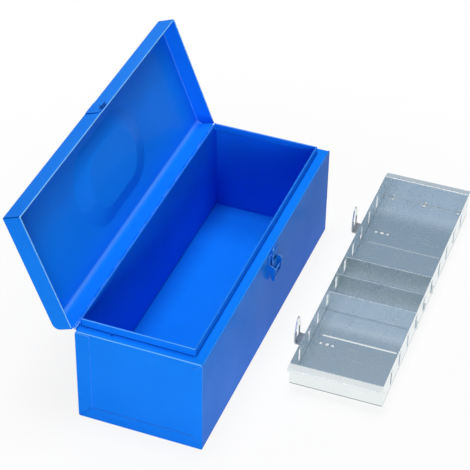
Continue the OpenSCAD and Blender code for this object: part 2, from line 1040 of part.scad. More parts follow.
body_wrapper();
end_panel_near();
end_panel_far();
hinge_body_leaf();
hinge_lid_leaf();
hinge_pin();
lid_shell();
catch_plate();
handle_bracket_near();
handle_bracket_far();
carry_handle();
latch_base();
latch_lever();
latch_link();
latch_pivot_rivets();
latch_link_pin();
tray_floor();
tray_wall_front();
tray_wall_rear();
tray_end_near();
tray_end_far();
divider_near();
divider_middle();
divider_far();
tray_loop_near();
tray_loop_far();
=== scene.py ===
"""A portable steel tool box with a lift-out tray, dressed and lit in a small studio."""

import json
import logging
import math
from collections.abc import Callable, Iterable, Sequence
from dataclasses import dataclass, field
from enum import Enum

import bmesh
import bpy
from mathutils import Matrix, Vector


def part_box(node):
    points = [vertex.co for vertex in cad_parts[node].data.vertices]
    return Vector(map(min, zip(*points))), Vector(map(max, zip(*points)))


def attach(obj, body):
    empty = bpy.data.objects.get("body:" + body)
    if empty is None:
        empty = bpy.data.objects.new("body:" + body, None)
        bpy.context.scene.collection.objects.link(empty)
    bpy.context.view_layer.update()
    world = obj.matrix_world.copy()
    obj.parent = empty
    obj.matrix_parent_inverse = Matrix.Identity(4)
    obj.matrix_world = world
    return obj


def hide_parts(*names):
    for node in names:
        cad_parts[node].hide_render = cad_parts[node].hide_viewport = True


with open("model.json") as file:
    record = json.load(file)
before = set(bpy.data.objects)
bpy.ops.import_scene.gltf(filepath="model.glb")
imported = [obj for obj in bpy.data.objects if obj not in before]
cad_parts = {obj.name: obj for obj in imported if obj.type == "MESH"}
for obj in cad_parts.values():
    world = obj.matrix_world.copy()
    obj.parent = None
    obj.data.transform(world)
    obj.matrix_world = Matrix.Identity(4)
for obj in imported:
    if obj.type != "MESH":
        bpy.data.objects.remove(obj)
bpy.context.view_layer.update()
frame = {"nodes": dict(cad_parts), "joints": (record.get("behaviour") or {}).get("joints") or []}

log = logging.getLogger("tool_box")

Colour = tuple[float, float, float]
Point = tuple[float, float, float]
Span = tuple[float, float]
Corners = list[bmesh.types.BMVert]
Edges = list[bmesh.types.BMEdge]
Spokes = list[tuple[Vector, bmesh.types.BMVert]]
PointTest = Callable[[Vector], bool]
FaceTest = Callable[[bpy.types.MeshPolygon], bool]

# A face's tone is 1 for a painted highlight, partly edge wear, on outward bends and rims, -1 for painted
# shade in creases and under faces, and 0 elsewhere.
TONE = "tone"
WEAR_AND_HIGHLIGHT = 1.0
PAINTED_SHADE = -1.0
MOSTLY_PAINTED_SHADE = -0.9

# The largest part of a flat face's normal is over SLANT, and of an even bend's about EVEN_SLANT.
# The upward part is under HIDDEN_DIP where a face looks down.
SLANT = 0.95
EVEN_SLANT = 0.72
HIDDEN_DIP = -0.3

# In radians and metres.
HARD_ANGLE = math.radians(32.0)
QUARTER = math.radians(90.0)
EPSILON = 0.00001
CUT_REACH = 0.000001
MERGE_REACH = 0.000002


# ---------------------------------------------------------------- shader graphs


class Value:
    """A number that a node puts out, written in Python expressions."""

    def __init__(self, graph: "Graph", socket: bpy.types.NodeSocket) -> None:
        """Wrap an output socket.

        Args:
            graph: Graph that the socket's node is in.
            socket: Output socket that carries the number.
        """
        self.graph = graph
        self.socket = socket

    def _math(self, operation: str, first: object, second: object) -> "Value":
        """Add one Math node.

        Args:
            operation: The Math node's operation.
            first: Its first operand.
            second: Its second operand.

        Returns:
            The node's result.
        """
        return self.graph.number("ShaderNodeMath", {"operation": operation}, {0: first, 1: second})

    def __add__(self, other: object) -> "Value":
        """Sum with a number or a value."""
        return self._math("ADD", self, other)

    def __radd__(self, other: object) -> "Value":
        """Sum with a number on the left."""
        return self._math("ADD", other, self)

    def __sub__(self, other: object) -> "Value":
        """Difference from a number or a value."""
        return self._math("SUBTRACT", self, other)

    def __rsub__(self, other: object) -> "Value":
        """A number less this value."""
        return self._math("SUBTRACT", other, self)

    def __mul__(self, other: object) -> "Value":
        """Product with a number or a value."""
        return self._math("MULTIPLY", self, other)

    def __rmul__(self, other: object) -> "Value":
        """Product with a number on the left."""
        return self._math("MULTIPLY", other, self)


class Graph:
    """The node tree of a material or a world."""

    def __init__(self, tree: bpy.types.NodeTree) -> None:
        """Empty a tree and keep it.

        Args:
            tree: Node tree to fill.
        """
        tree.nodes.clear()
        self.tree = tree

    def add(
        self,
        kind: str,
        settings: dict[str, object] | None = None,
        sockets: dict[str | int, object] | None = None,
    ) -> bpy.types.Node:
        """Add a node, set it up and feed its sockets.

        Args:
            kind: The node's type.
            settings: Its properties, set before its sockets; "stops" fills a colour ramp.
            sockets: Numbers, colours, values or output sockets, by input name or place.

        Returns:
            The new node.
        """
        node = self.tree.nodes.new(kind)
        for name, setting in (settings or {}).items():
            if name == "stops":
                self._fill_ramp(node.color_ramp, setting)
            else:
                setattr(node, name, setting)
        for name, given in (sockets or {}).items():
            source = given.socket if isinstance(given, Value) else given
            if isinstance(source, bpy.types.NodeSocket):
                self.tree.links.new(source, node.inputs[name])
            else:
                node.inputs[name].default_value = source
        return node

    @staticmethod
    def _fill_ramp(ramp: bpy.types.ColorRamp, stops: Sequence[Span]) -> None:
        """Set a ramp to grey levels.

        Args:
            ramp: Ramp with its two first stops.
            stops: Place and grey level of each of its two stops, in order.
        """
        for element, (place, level) in zip(ramp.elements, stops):
            element.position = place
            element.color = (level, level, level, 1.0)

    def number(
        self, kind: str, settings: dict[str, object], sockets: dict[str | int, object]
    ) -> Value:
        """Add a node and take its first output as a number."""
        return Value(self, self.add(kind, settings, sockets).outputs[0])

    def place(self, scale: Point, centre: Point = (0.0, 0.0, 0.0)) -> bpy.types.NodeSocket:
        """Give object coordinates that are centred and then scaled.

        Args:
            scale: How often a pattern repeats along each axis.
            centre: Point that the pattern is centred on.

        Returns:
            The vector output.
        """
        coordinates = self.add("ShaderNodeTexCoord")
        offset = tuple(-s * c for s, c in zip(scale, centre))
        mapped = self.add(
            "ShaderNodeMapping",
            {"vector_type": "POINT"},
            {"Vector": coordinates.outputs["Object"], "Location": offset, "Scale": scale},
        )
        return mapped.outputs[0]

    def ramp(self, value: Value, span: Span) -> Value:
        """Turn a span of a number into grey levels from 0 to 1."""
        stops = ((span[0], 0.0), (span[1], 1.0))
        return self.number("ShaderNodeValToRGB", {"stops": stops}, {0: value})

    def fade(
        self, source: object, span: Span, levels: Span = (0.0, 1.0), kind: str = "LINEAR"
    ) -> Value:
        """Map a span of a number onto a span of levels.

        Args:
            source: Number that the levels follow.
            span: Where the levels start and end.
            levels: First and last level.
            kind: How the levels run between them.

        Returns:
            The level.
        """
        sockets = {0: source, 1: span[0], 2: span[1], 3: levels[0], 4: levels[1]}
        return self.number("ShaderNodeMapRange", {"interpolation_type": kind}, sockets)

    def rays(self, *kinds: str) -> list[Value]:
        """Give a number for each kind of ray, which is 1 where the ray is of that kind."""
        path = self.add("ShaderNodeLightPath")
        return [Value(self, path.outputs[f"Is {kind} Ray"]) for kind in kinds]

    def blend(self, factor: Value, first: object, second: object) -> bpy.types.NodeSocket:
        """Mix two colours.

        Args:
            factor: 0 for the first and 1 for the second.
            first: Colour or colour socket.
            second: Colour or colour socket.

        Returns:
            The colour output.
        """
        colours = [c if isinstance(c, bpy.types.NodeSocket) else (*c, 1.0) for c in (first, second)]
        sockets = {0: factor, 6: colours[0], 7: colours[1]}
        return self.add("ShaderNodeMix", {"data_type": "RGBA"}, sockets).outputs[2]

    def face_marks(self) -> tuple[Value, Value]:
        """Read how much painted highlight and how much painted shade a face is marked with.

        Returns:
            A number that is 1 on a face with painted highlight and wear, and one that is 1 on a face
            with painted shade.
        """
        mark = Value(self, self.add("ShaderNodeAttribute", {"attribute_name": TONE}).outputs["Fac"])
        rubbed_and_highlit = self.number("ShaderNodeClamp", {}, {0: mark})
        crease_shade = self.number("ShaderNodeClamp", {}, {0: 0.0 - mark})
        return rubbed_and_highlit, crease_shade

    def bump(self, height: Value, distance: float) -> bpy.types.NodeSocket:
        """Turn a height into a normal."""
        sockets = {"Height": height, "Distance": distance, "Strength": 1.0}
        return self.add("ShaderNodeBump", {}, sockets).outputs[0]

    def surface(self, sockets: dict[str | int, object]) -> None:
        """Finish a material with a Principled surface."""
        shader = self.add("ShaderNodeBsdfPrincipled", {}, sockets)
        self.add("ShaderNodeOutputMaterial", {}, {"Surface": shader.outputs[0]})


@dataclass(frozen=True)
class Pattern:
    """Fractal noise on object coordinates."""

    scale: float
    detail: float = 2.0
    stretch: Point = (1.0, 1.0, 1.0)
    span: Span | None = None
    roughness: float = 0.55

    def draw(self, graph: Graph) -> Value:
        """Add the noise, cut down to its span where it has one.

        Args:
            graph: Graph of the material.

        Returns:
            A number from 0 to 1.
        """
        sockets = {
            "Vector": graph.place(self.stretch),
            "Scale": self.scale,
            "Detail": self.detail,
            "Roughness": self.roughness,
        }
        noise = graph.number("ShaderNodeTexNoise", {}, sockets)
        return graph.ramp(noise, self.span) if self.span else noise


def new_material(name: str) -> tuple[bpy.types.Material, Graph]:
    """Make an empty node material.

    Args:
        name: Name of the material.

    Returns:
        The material and its graph.
    """
    material = bpy.data.materials.new(name)
    material.use_nodes = True
    return material, Graph(material.node_tree)


# ---------------------------------------------------------------- finishes


class Slot(Enum):
    """Material slots of the record."""

    PAINT = "blue_paint"
    GALVANISED = "galvanised"
    PLATED = "plated_steel"


@dataclass(frozen=True)
class PaintFinish:
    """Blue enamel baked onto sheet steel, with fine orange peel, rubbed high spots, a painted highlight
    with some wear on outward bends and painted shade in creases.
    """

    name: str = "Blue enamel"
    slot: Slot = Slot.PAINT
    colour: Colour = (0.006, 0.222, 0.94)
    deep_colour: Colour = (0.005, 0.204, 0.89)
    rubbed_colour: Colour = (0.035, 0.25, 0.80)
    bend_highlight_colour: Colour = (0.26, 0.62, 1.0)
    crease_shade_colour: Colour = (0.002, 0.03, 0.26)
    clouds: Pattern = Pattern(9.0, 3.0, span=(0.3, 0.7))
    rubs: Pattern = Pattern(38.0, 5.0, (1.0, 5.0, 5.0), (0.62, 0.78))
    specks: Pattern = Pattern(900.0, 1.0, span=(0.74, 0.8))
    coarse_peel: Pattern = Pattern(420.0)
    fine_peel: Pattern = Pattern(1500.0, 1.0)
    bend_highlight_share: float = 0.65
    bend_highlight_drift: float = 0.30
    rub_share: float = 0.35
    speck_share: float = 0.25
    crease_shade_share: float = 0.8
    fine_share: float = 0.35
    peel_depth: float = 0.00002
    roughness: float = 0.32
    cloud_dulling: float = 0.10
    rub_dulling: float = 0.12
    shine: float = 0.02
    coat: float = 0.04
    coat_roughness: float = 0.12

    def build(self) -> bpy.types.Material:
        """Make the material.

        Returns:
            The material.
        """
        material, graph = new_material(self.name)
        clouds, rubs, specks = (p.draw(graph) for p in (self.clouds, self.rubs, self.specks))
        rubbed_and_highlit, crease_shade = graph.face_marks()
        enamel = graph.blend(clouds, self.colour, self.deep_colour)
        # Outward bends are lighter as painted highlight and partly as worn-thin paint; creases get
        # painted shade.
        highlit_share = rubbed_and_highlit * (self.bend_highlight_share + self.bend_highlight_drift * clouds)
        highlit_bends = graph.blend(highlit_share, enamel, self.bend_highlight_colour)
        worn_and_highlit = graph.blend(rubs * self.rub_share + specks * self.speck_share, highlit_bends, self.rubbed_colour)
        peel = self.coarse_peel.draw(graph) + self.fine_share * self.fine_peel.draw(graph)
        graph.surface({
            "Base Color": graph.blend(crease_shade * self.crease_shade_share, worn_and_highlit, self.crease_shade_colour),
            "Roughness": self.roughness + self.cloud_dulling * clouds + self.rub_dulling * rubs,
            "Specular IOR Level": self.shine,
            "Coat Weight": self.coat,
            "Coat Roughness": self.coat_roughness,
            "Normal": graph.bump(peel, self.peel_depth),
        })
        return material


@dataclass(frozen=True)
class GalvanisedFinish:
    """Hot-dipped sheet with a soft spangle, rolling lines, small scuffs, a painted highlight on outward
    bends and tops, and painted shade in creases.
    """

    name: str = "Galvanised sheet"
    slot: Slot = Slot.GALVANISED
    light: Colour = (0.88, 0.92, 0.91)
    dark: Colour = (0.80, 0.85, 0.865)
    highlight_colour: Colour = (0.95, 0.98, 0.98)
    painted_crease_shade: Colour = (0.16, 0.19, 0.20)
    fine: Pattern = Pattern(240.0, 3.0)
    rolled: Pattern = Pattern(900.0, 2.0, (0.04, 1.0, 1.0))
    drift: Pattern = Pattern(14.0, 3.0, (1.0, 2.5, 2.5))
    scuffs: Pattern = Pattern(70.0, 4.0, (3.0, 0.5, 1.0), (0.6, 0.7))
    spangle: float = 330.0
    spangle_bends: float = 160.0
    spangle_reach: float = 0.004
    spangle_share: float = 0.07
    fine_share: float = 0.13
    rolled_share: float = 0.20
    drift_share: float = 0.60
    tones: Span = (0.25, 0.80)
    highlight_and_shade_share: float = 0.8
    scuffed_loss: float = 0.04
    highlit_metal_loss: float = 0.8
    shaded_metal_loss: float = 0.9
    roughness: float = 0.24
    dark_dulling: float = 0.05
    scuff_dulling: float = 0.03
    relief: float = 0.0000025
    rolled_relief: float = 0.3

    def build(self) -> bpy.types.Material:
        """Make the material.

        Returns:
            The material.
        """
        material, graph = new_material(self.name)
        fine, rolled, drift = (p.draw(graph) for p in (self.fine, self.rolled, self.drift))
        scuffs = self.scuffs.draw(graph)
        rubbed_and_highlit, crease_shade = graph.face_marks()
        sheet = self.spangle_share * self._cells(graph) + self.fine_share * fine
        tone = graph.ramp(sheet + self.rolled_share * rolled + self.drift_share * drift, self.tones)
        skin = graph.blend(tone, self.dark, self.light)
        # Painted highlight on marked faces and painted shade in creases, each also less metallic.
        worn_and_highlit = graph.blend(rubbed_and_highlit * self.highlight_and_shade_share, skin, self.highlight_colour)
        metal = 1.0 - self.scuffed_loss * scuffs - self.highlit_metal_loss * rubbed_and_highlit
        graph.surface({
            "Base Color": graph.blend(crease_shade * self.highlight_and_shade_share, worn_and_highlit, self.painted_crease_shade),
            "Metallic": metal - self.shaded_metal_loss * crease_shade,
            "Roughness": self.roughness + self.dark_dulling * (1.0 - tone) + self.scuff_dulling * scuffs,
            "Normal": graph.bump(fine + self.rolled_relief * rolled, self.relief),
        })
        return material

    def _cells(self, graph: Graph) -> Value:
        """Give each zinc crystal its own grey.

        Args:
            graph: Graph of the material.

        Returns:
            A number from 0 to 1 that is even within a crystal.
        """
        place = graph.place((1.0, 1.0, 1.0))
        sockets = {"Vector": place, "Scale": self.spangle_bends, "Detail": 1.0}
        bends = graph.add("ShaderNodeTexNoise", {}, sockets)
        bent = graph.add(
            "ShaderNodeVectorMath",
            {"operation": "MULTIPLY_ADD"},
            {0: bends.outputs["Color"], 1: (self.spangle_reach,) * 3, 2: place},
        )
        cells = graph.add("ShaderNodeTexVoronoi", {}, {"Vector": bent.outputs[0], "Scale": self.spangle})
        return graph.number("ShaderNodeSeparateColor", {}, {0: cells.outputs["Color"]})


@dataclass(frozen=True)
class PlatedFinish:
    """Bright plated rod with faint drawing marks along it."""

    name: str = "Plated steel"
    slot: Slot = Slot.PLATED
    colour: Colour = (0.62, 0.62, 0.60)
    dull: Colour = (0.42, 0.41, 0.38)
    drawn: Pattern = Pattern(2200.0, 2.0, (0.05, 1.0, 1.0))
    stains: Pattern = Pattern(55.0, 4.0, span=(0.45, 0.75))
    roughness: float = 0.22
    stain_dulling: float = 0.18
    drawn_dulling: float = 0.08
    relief: float = 0.000008

    def build(self) -> bpy.types.Material:
        """Make the material.

        Returns:
            The material.
        """
        material, graph = new_material(self.name)
        drawn = self.drawn.draw(graph)
        stains = self.stains.draw(graph)
        graph.surface({
            "Base Color": graph.blend(stains, self.colour, self.dull),
            "Metallic": 1.0,
            "Roughness": self.roughness + self.stain_dulling * stains + self.drawn_dulling * drawn,
            "Normal": graph.bump(drawn, self.relief),
        })
        return material


Finish = PaintFinish | GalvanisedFinish | PlatedFinish


# ---------------------------------------------------------------- studio


@dataclass(frozen=True)
class Viewpoint:
    """Where the camera stands and what it takes in, in metres, degrees and lens millimetres."""

    eye: Point = (-1.8180, -0.7094, 1.7035)
    azimuth: float = 69.68
    elevation: float = 38.54
    roll: float = 1.05
    lens: float = 139.4
    sensor: float = 36.0
    nearest: float = 0.05
    farthest: float = 60.0

    def place(self) -> None:
        """Make the scene's camera."""
        turn, dip, tilt = (math.radians(a) for a in (self.azimuth, self.elevation, self.roll))
        ahead = Vector((math.sin(turn) * math.cos(dip), math.cos(turn) * math.cos(dip), -math.sin(dip)))
        level = Vector((math.cos(turn), -math.sin(turn), 0.0))
        upright = level.cross(ahead)
        right = level * math.cos(tilt) + upright * math.sin(tilt)
        up = upright * math.cos(tilt) - level * math.sin(tilt)
        data = bpy.data.cameras.new("camera")
        data.lens = self.lens
        data.sensor_width = self.sensor
        data.clip_start = self.nearest
        data.clip_end = self.farthest
        camera = bpy.data.objects.new("camera", data)
        bpy.context.scene.collection.objects.link(camera)
        axes = Matrix((right, up, -ahead)).transposed()
        camera.matrix_world = Matrix.Translation(self.eye) @ axes.to_4x4()
        bpy.context.scene.camera = camera


@dataclass(frozen=True)
class Lamp:
    """A soft rectangular lamp, in metres and watts, that reflections don't show."""

    name: str
    spot: Point
    face: tuple[float, float]
    power: float

    def hang(self, target: Point) -> None:
        """Make the lamp and turn it to a target.

        Args:
            target: Point that it faces.
        """
        data = bpy.data.lights.new(self.name, "AREA")
        data.shape = "RECTANGLE"
        data.size, data.size_y = self.face
        data.energy = self.power
        lamp = bpy.data.objects.new(self.name, data)
        lamp.visible_glossy = False
        bpy.context.scene.collection.objects.link(lamp)
        aim = (Vector(target) - Vector(self.spot)).to_track_quat("-Z", "Y")
        lamp.matrix_world = Matrix.Translation(self.spot) @ aim.to_matrix().to_4x4()


@dataclass(frozen=True)
class Studio:
    """Pale floor, white surroundings with a blue-grey room for mirrors, and soft lamps."""

    centre: Point = (0.05, -0.03, 0.08)
    lamps: tuple[Lamp, ...] = (
        Lamp("above", (0.0, 0.25, 2.4), (0.6, 0.6), 24.5),
        Lamp("beyond", (0.9, -0.1, 2.4), (0.8, 0.8), 19.5),
        Lamp("before", (0.0, -0.8, 2.5), (0.8, 0.8), 6.5),
        Lamp("side", (-1.9, -0.65, 0.35), (1.4, 0.5), 23.0),
        Lamp("front", (0.2, -2.0, 0.5), (1.2, 0.8), 1.2),
    )
    white: Colour = (1.0, 1.0, 1.0)
    sky: Colour = (0.01, 0.01, 0.01)
    near_room: Colour = (0.37, 0.50, 0.70)
    far_room: Colour = (0.19, 0.29, 0.41)
    room_bend: Span = (-0.2, -0.5)
    low_white: Span = (0.2, 0.5)
    high_white: Span = (0.73, 0.79)
    floor_size: float = 9.0
    floor_colour: Colour = (0.90, 0.90, 0.90)
    grain: Pattern = Pattern(35.0, 3.0)
    grain_depth: float = 0.01
    shadow_span: Span = (0.20, 0.70)
    shadow_share: float = 0.88

    def build(self) -> None:
        """Make the floor, the surroundings and the lamps."""
        bpy.context.scene.view_settings.view_transform = "Standard"
        self._world()
        self._floor()
        for lamp in self.lamps:
            lamp.hang(self.centre)

    def _world(self) -> None:
        """Show the camera white, show mirrors a room between white zones, and add a faint light."""
        world = bpy.data.worlds.new("surroundings")
        world.use_nodes = True
        bpy.context.scene.world = world
        graph = Graph(world.node_tree)
        camera, glossy, through = graph.rays("Camera", "Glossy", "Transmission")
        heading = graph.add("ShaderNodeTexCoord").outputs["Generated"]
        way = graph.add("ShaderNodeSeparateXYZ", {}, {0: heading}).outputs
        low = graph.fade(way["Z"], self.low_white, (1.0, 0.0))
        high = graph.fade(way["Z"], self.high_white)
        room = graph.blend(graph.fade(way["X"], self.room_bend), self.far_room, self.near_room)
        mirrored = graph.blend(low + high, room, self.white)
        lit = graph.blend(glossy, self.sky, mirrored)
        seen = graph.blend(camera + through, lit, self.white)
        backdrop = graph.add("ShaderNodeBackground", {}, {"Color": seen})
        graph.add("ShaderNodeOutputWorld", {}, {"Surface": backdrop.outputs[0]})

    def _floor(self) -> None:
        """Lay a floor that keeps shadows near the object and runs out to white."""
        shape = bmesh.new()
        bmesh.ops.create_grid(shape, x_segments=1, y_segments=1, size=self.floor_size / 2.0)
        floor = piece_from("floor", shape)
        material, graph = new_material("Studio floor")
        flat = graph.place((1.0, 1.0, 0.0), self.centre)
        reach = graph.add("ShaderNodeVectorMath", {"operation": "LENGTH"}, {0: flat}).outputs["Value"]
        away = graph.fade(reach, self.shadow_span, (self.shadow_share, 1.0), "SMOOTHSTEP")
        camera, glossy = graph.rays("Camera", "Glossy")
        dulled = tuple((1.0 - self.grain_depth) * part for part in self.floor_colour)
        paper = graph.blend(self.grain.draw(graph), self.floor_colour, dulled)
        plain = graph.add("ShaderNodeBsdfDiffuse", {}, {"Color": paper})
        white = graph.add("ShaderNodeEmission", {}, {"Color": (*self.white, 1.0), "Strength": 1.0})
        mixed = graph.add(
            "ShaderNodeMixShader",
            {},
            {0: away * camera + glossy, 1: plain.outputs[0], 2: white.outputs[0]},
        )
        graph.add("ShaderNodeOutputMaterial", {}, {"Surface": mixed.outputs[0]})
        floor.data.materials.append(material)


# ---------------------------------------------------------------- shared shaping


def mid(edge: bmesh.types.BMEdge) -> Vector:
    """Give the middle of an edge."""
    return (edge.verts[0].co + edge.verts[1].co) / 2.0


def edges_where(shape: bmesh.types.BMesh, test: PointTest) -> Edges:
    """Find the edges whose two ends pass a test.

    Args:
        shape: Shape to search.
        test: Says whether a point belongs.

    Returns:
        The edges.
    """
    return [e for e in shape.edges if all(test(v.co) for v in e.verts)]


def edges_among(corners: Corners) -> Edges:
    """Find the edges that join two of some corners.

    Args:
        corners: Corners to search.

    Returns:
        The edges, in the order of the corners.
    """
    kept = set(corners)
    found = {e: None for v in corners for e in v.link_edges if kept.issuperset(e.verts)}
    return list(found)


def draw_edges(shape: bmesh.types.BMesh, edges: Edges) -> tuple[Corners, Edges]:
    """Extrude edges, and leave the new ones where they are.

    Args:
        shape: Shape that the edges are in.
        edges: Edges to extrude.

    Returns:
        The new corners, and the new edges between them.
    """
    grown = bmesh.ops.extrude_edge_only(shape, edges=edges)["geom"]
    fresh = [part for part in grown if isinstance(part, bmesh.types.BMVert)]
    return fresh, edges_among(fresh)


def round_edges(shape: bmesh.types.BMesh, edges: Edges, radius: float, segments: int) -> None:
    """Round edges to a radius.

    Args:
        shape: Shape that the edges are in.
        edges: Edges to round.
        radius: Radius of the rounding.
        segments: Number of faces across it.
    """
    bmesh.ops.bevel(
        shape,
        geom=edges,
        offset=radius,
        offset_type="OFFSET",
        affect="EDGES",
        segments=segments,
        profile=0.5,
        material=-1,
        clamp_overlap=True,
        miter_outer="ARC",
    )


def round_corners(
    shape: bmesh.types.BMesh, radius: float, segments: int, angle: float = HARD_ANGLE
) -> None:
    """Round the edges where two faces meet at more than an angle.

    Args:
        shape: Shape to finish.
        radius: Radius of the rounding.
        segments: Number of faces across it.
        angle: Smallest angle of an edge that is rounded, in radians.
    """
    hard = [e for e in shape.edges if e.is_manifold and e.calc_face_angle() > angle]
    round_edges(shape, hard, radius, segments)


def mark_tones(
    shape: bmesh.types.BMesh,
    upright: Matrix | None = None,
    skip: PointTest | None = None,
    shine: float = WEAR_AND_HIGHLIGHT,
) -> None:
    """Mark the outward bends of a sheet with painted highlight and wear, and its inward or
    downward-facing ones with painted shade.

    Args:
        shape: Shape of flat sheets and bends.
        upright: Turn that lines the flat faces up with the axes.
        skip: Says whether a face with its middle at a point stays unmarked.
        shine: How strong the painted highlight and wear on the outward bends are.
    """
    layer = shape.faces.layers.float.new(TONE)
    turn = (upright or Matrix()).to_3x3()
    for face in shape.faces:
        face.normal_update()
    for face in shape.faces:
        slant = (SLANT - max(abs(part) for part in turn @ face.normal)) / (SLANT - EVEN_SLANT)
        if slant > 0.0 and not (skip and skip(face.calc_center_median())):
            folded = sum(edge.calc_length() * edge.calc_face_angle_signed(0.0) for edge in face.edges)
            inward = folded < 0.0 or face.normal.z < HIDDEN_DIP
            face[layer] = PAINTED_SHADE if inward else shine * min(slant, 1.0)


def tint(piece: bpy.types.Object, test: FaceTest, tone: float) -> None:
    """Give one tone to the faces of a piece that pass a test.

    Args:
        piece: Piece with its tones.
        test: Says whether a face is meant.
        tone: The faces' tone.
    """
    marks = piece.data.attributes[TONE].data
    for face, mark in zip(piece.data.polygons, marks):
        if test(face):
            mark.value = tone


def cut(shape: bmesh.types.BMesh, point: Point, way: Point) -> None:
    """Cut every face of a shape along a plane, and keep both sides.

    Args:
        shape: Shape to cut.
        point: A point of the plane.
        way: Direction of the plane's normal.
    """
    bmesh.ops.bisect_plane(
        shape,
        geom=shape.verts[:] + shape.edges[:] + shape.faces[:],
        dist=CUT_REACH,
        plane_co=point,
        plane_no=way,
    )


def swell(away: float) -> float:
    """Give a smooth hump that is 1 in the middle and 0 from 1 outwards."""
    return 0.5 + 0.5 * math.cos(math.pi * min(away, 1.0))


def piece_from(name: str, shape: bmesh.types.BMesh) -> bpy.types.Object:
    """Turn a bmesh into an object at the origin, and free the bmesh.

    Args:
        name: Name of the piece.
        shape: Finished shape in metres.

    Returns:
        The object, linked to the scene.
    """
    mesh = bpy.data.meshes.new(name)
    shape.to_mesh(mesh)
    shape.free()
    piece = bpy.data.objects.new(name, mesh)
    bpy.context.scene.collection.objects.link(piece)
    return piece


def give_wall(piece: bpy.types.Object, thickness: float, even: bool) -> None:
    """Thicken a piece's surface inwards into sheet metal.

    Args:
        piece: Piece that is a bare surface.
        thickness: Thickness of the sheet.
        even: Keeps the thickness true round sharp bends.
    """
    wall = piece.modifiers.new("sheet", "SOLIDIFY")
    wall.thickness = thickness
    wall.offset = -1.0
    wall.use_even_offset = even


def soften(piece: bpy.types.Object, width: float, segments: int, angle: float) -> None:
    """Round a piece's hard edges and shade it smooth.

    Args:
        piece: Piece to finish.
        width: Width of the rounding.
        segments: Number of faces across it.
        angle: Smallest angle of an edge that is rounded, in degrees.
    """
    rounding = piece.modifiers.new("rounding", "BEVEL")
    rounding.width = width
    rounding.segments = segments
    rounding.limit_method = "ANGLE"
    rounding.angle_limit = math.radians(angle)
    rounding.miter_outer = "MITER_ARC"
    rounding.use_clamp_overlap = True
    shade_evenly(piece)


def shade_evenly(piece: bpy.types.Object) -> None:
    """Shade a piece smooth, and let its large faces lead the shading."""
    piece.data.shade_smooth()
    piece.modifiers.new("even shading", "WEIGHTED_NORMAL").keep_sharp = True


def copy_of_node(
    node: str,
    name: str,
    edge: float,
    segments: int = 2,
    upright: Matrix | None = None,
    shine: float = WEAR_AND_HIGHLIGHT,
) -> bpy.types.Object:
    """Copy a CAD node's mesh with its corners merged, its hard edges rounded and its bends marked for
    painted highlight and painted shade.

    Args:
        node: Name of the CAD node.
        name: Name of the new piece.
        edge: Width of the rounding.
        segments: Number of faces across it.
        upright: Turn that lines the node's flat faces up with the axes.
        shine: How strong the painted highlight and wear on its outward bends are.

    Returns:
        The new piece, in the node's place.
    """
    shape = bmesh.new()
    shape.from_mesh(frame["nodes"][node].data)
    bmesh.ops.remove_doubles(shape, verts=shape.verts, dist=MERGE_REACH)
    round_corners(shape, edge, segments)
    mark_tones(shape, upright, shine=shine)
    piece = piece_from(name, shape)
    shade_evenly(piece)
    return piece


def settle(piece: bpy.types.Object, body: str, finish: Finish, *nodes: str) -> None:
    """Dress a piece, and say what carries it and what it stands for.

    Args:
        piece: Finished piece.
        body: CAD body that carries it.
        finish: Finish with its material and slot.
        nodes: CAD nodes that it stands for.
    """
    piece.data.materials.clear()
    piece.data.materials.append(wardrobe.material(finish))
    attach(piece, body)
    if nodes:
        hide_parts(*nodes)
    log.info("%s rides on %s", piece.name, body)


class Wardrobe:
    """Materials made once for each finish."""

    def __init__(self) -> None:
        """Start with no materials."""
        self._made: dict[Finish, bpy.types.Material] = {}

    def material(self, finish: Finish) -> bpy.types.Material:
        """Give a finish's material, made the first time it is asked for.

        Args:
            finish: Finish of a piece.

        Returns:
            Its material.
        """
        if finish not in self._made:
            self._made[finish] = finish.build()
        return self._made[finish]


wardrobe = Wardrobe()
paint = PaintFinish()
zinc = GalvanisedFinish()
plating = PlatedFinish()


def joint(name: str) -> dict[str, object]:
    """Find a joint of the CAD model by its name."""
    return next(found for found in frame["joints"] if found["name"] == name)


def swung_open() -> Matrix:
    """Give the turn about the hinge that takes the closed lid to its open place.

    Returns:
        The turn.
    """
    hinge = joint("lid_hinge")
    pivot = Matrix.Translation(hinge["pos_m"])
    angle = math.radians(hinge["range_deg"][1])
    return pivot @ Matrix.Rotation(-angle, 4, Vector(hinge["axis"])) @ pivot.inverted()


# ---------------------------------------------------------------- box and hinge


@dataclass(frozen=True)
class Box:
    """The bent wrapper and the two end panels that close it."""

    edge: float = 0.00025
    # Strength of the painted highlight on the wrapper's bends, which the end panels get in full.
    wrapper_shine: float = 0.35
    # The band at each end of the box whose edges get a painted highlight, and the largest x part of its
    # faces' normals.
    flange: float = 0.0012
    flange_slant: float = 0.1
    flange_highlight: float = 0.6

    def build(self) -> None:
        """Make and dress the three sheets, with a painted highlight on the flange edges at each end of
        the box.
        """
        flange_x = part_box("body_wrapper")[1].x - self.flange
        for node in ("body_wrapper", "end_panel_near", "end_panel_far"):
            shine = self.wrapper_shine if node == "body_wrapper" else WEAR_AND_HIGHLIGHT
            sheet = copy_of_node(node, f"{node}_sheet", self.edge, shine=shine)
            tint(
                sheet,
                lambda face: abs(face.center.x) > flange_x and abs(face.normal.x) < self.flange_slant,
                self.flange_highlight,
            )
            settle(sheet, "box", paint, node)


@dataclass(frozen=True)
class Hinge:
    """Two knuckled leaves on a long pin."""

    edge: float = 0.00015

    def build(self) -> None:
        """Make and dress the leaves and the pin."""
        leaf = copy_of_node("hinge_body_leaf", "hinge_body_leaf_sheet", self.edge)
        settle(leaf, "box", paint, "hinge_body_leaf")
        shut = swung_open().inverted()
        leaf = copy_of_node("hinge_lid_leaf", "hinge_lid_leaf_sheet", self.edge, upright=shut)
        settle(leaf, "lid", paint, "hinge_lid_leaf")
        pin = copy_of_node("hinge_pin", "hinge_pin_rod", self.edge)
        settle(pin, "box", plating, "hinge_pin")


# ---------------------------------------------------------------- lid


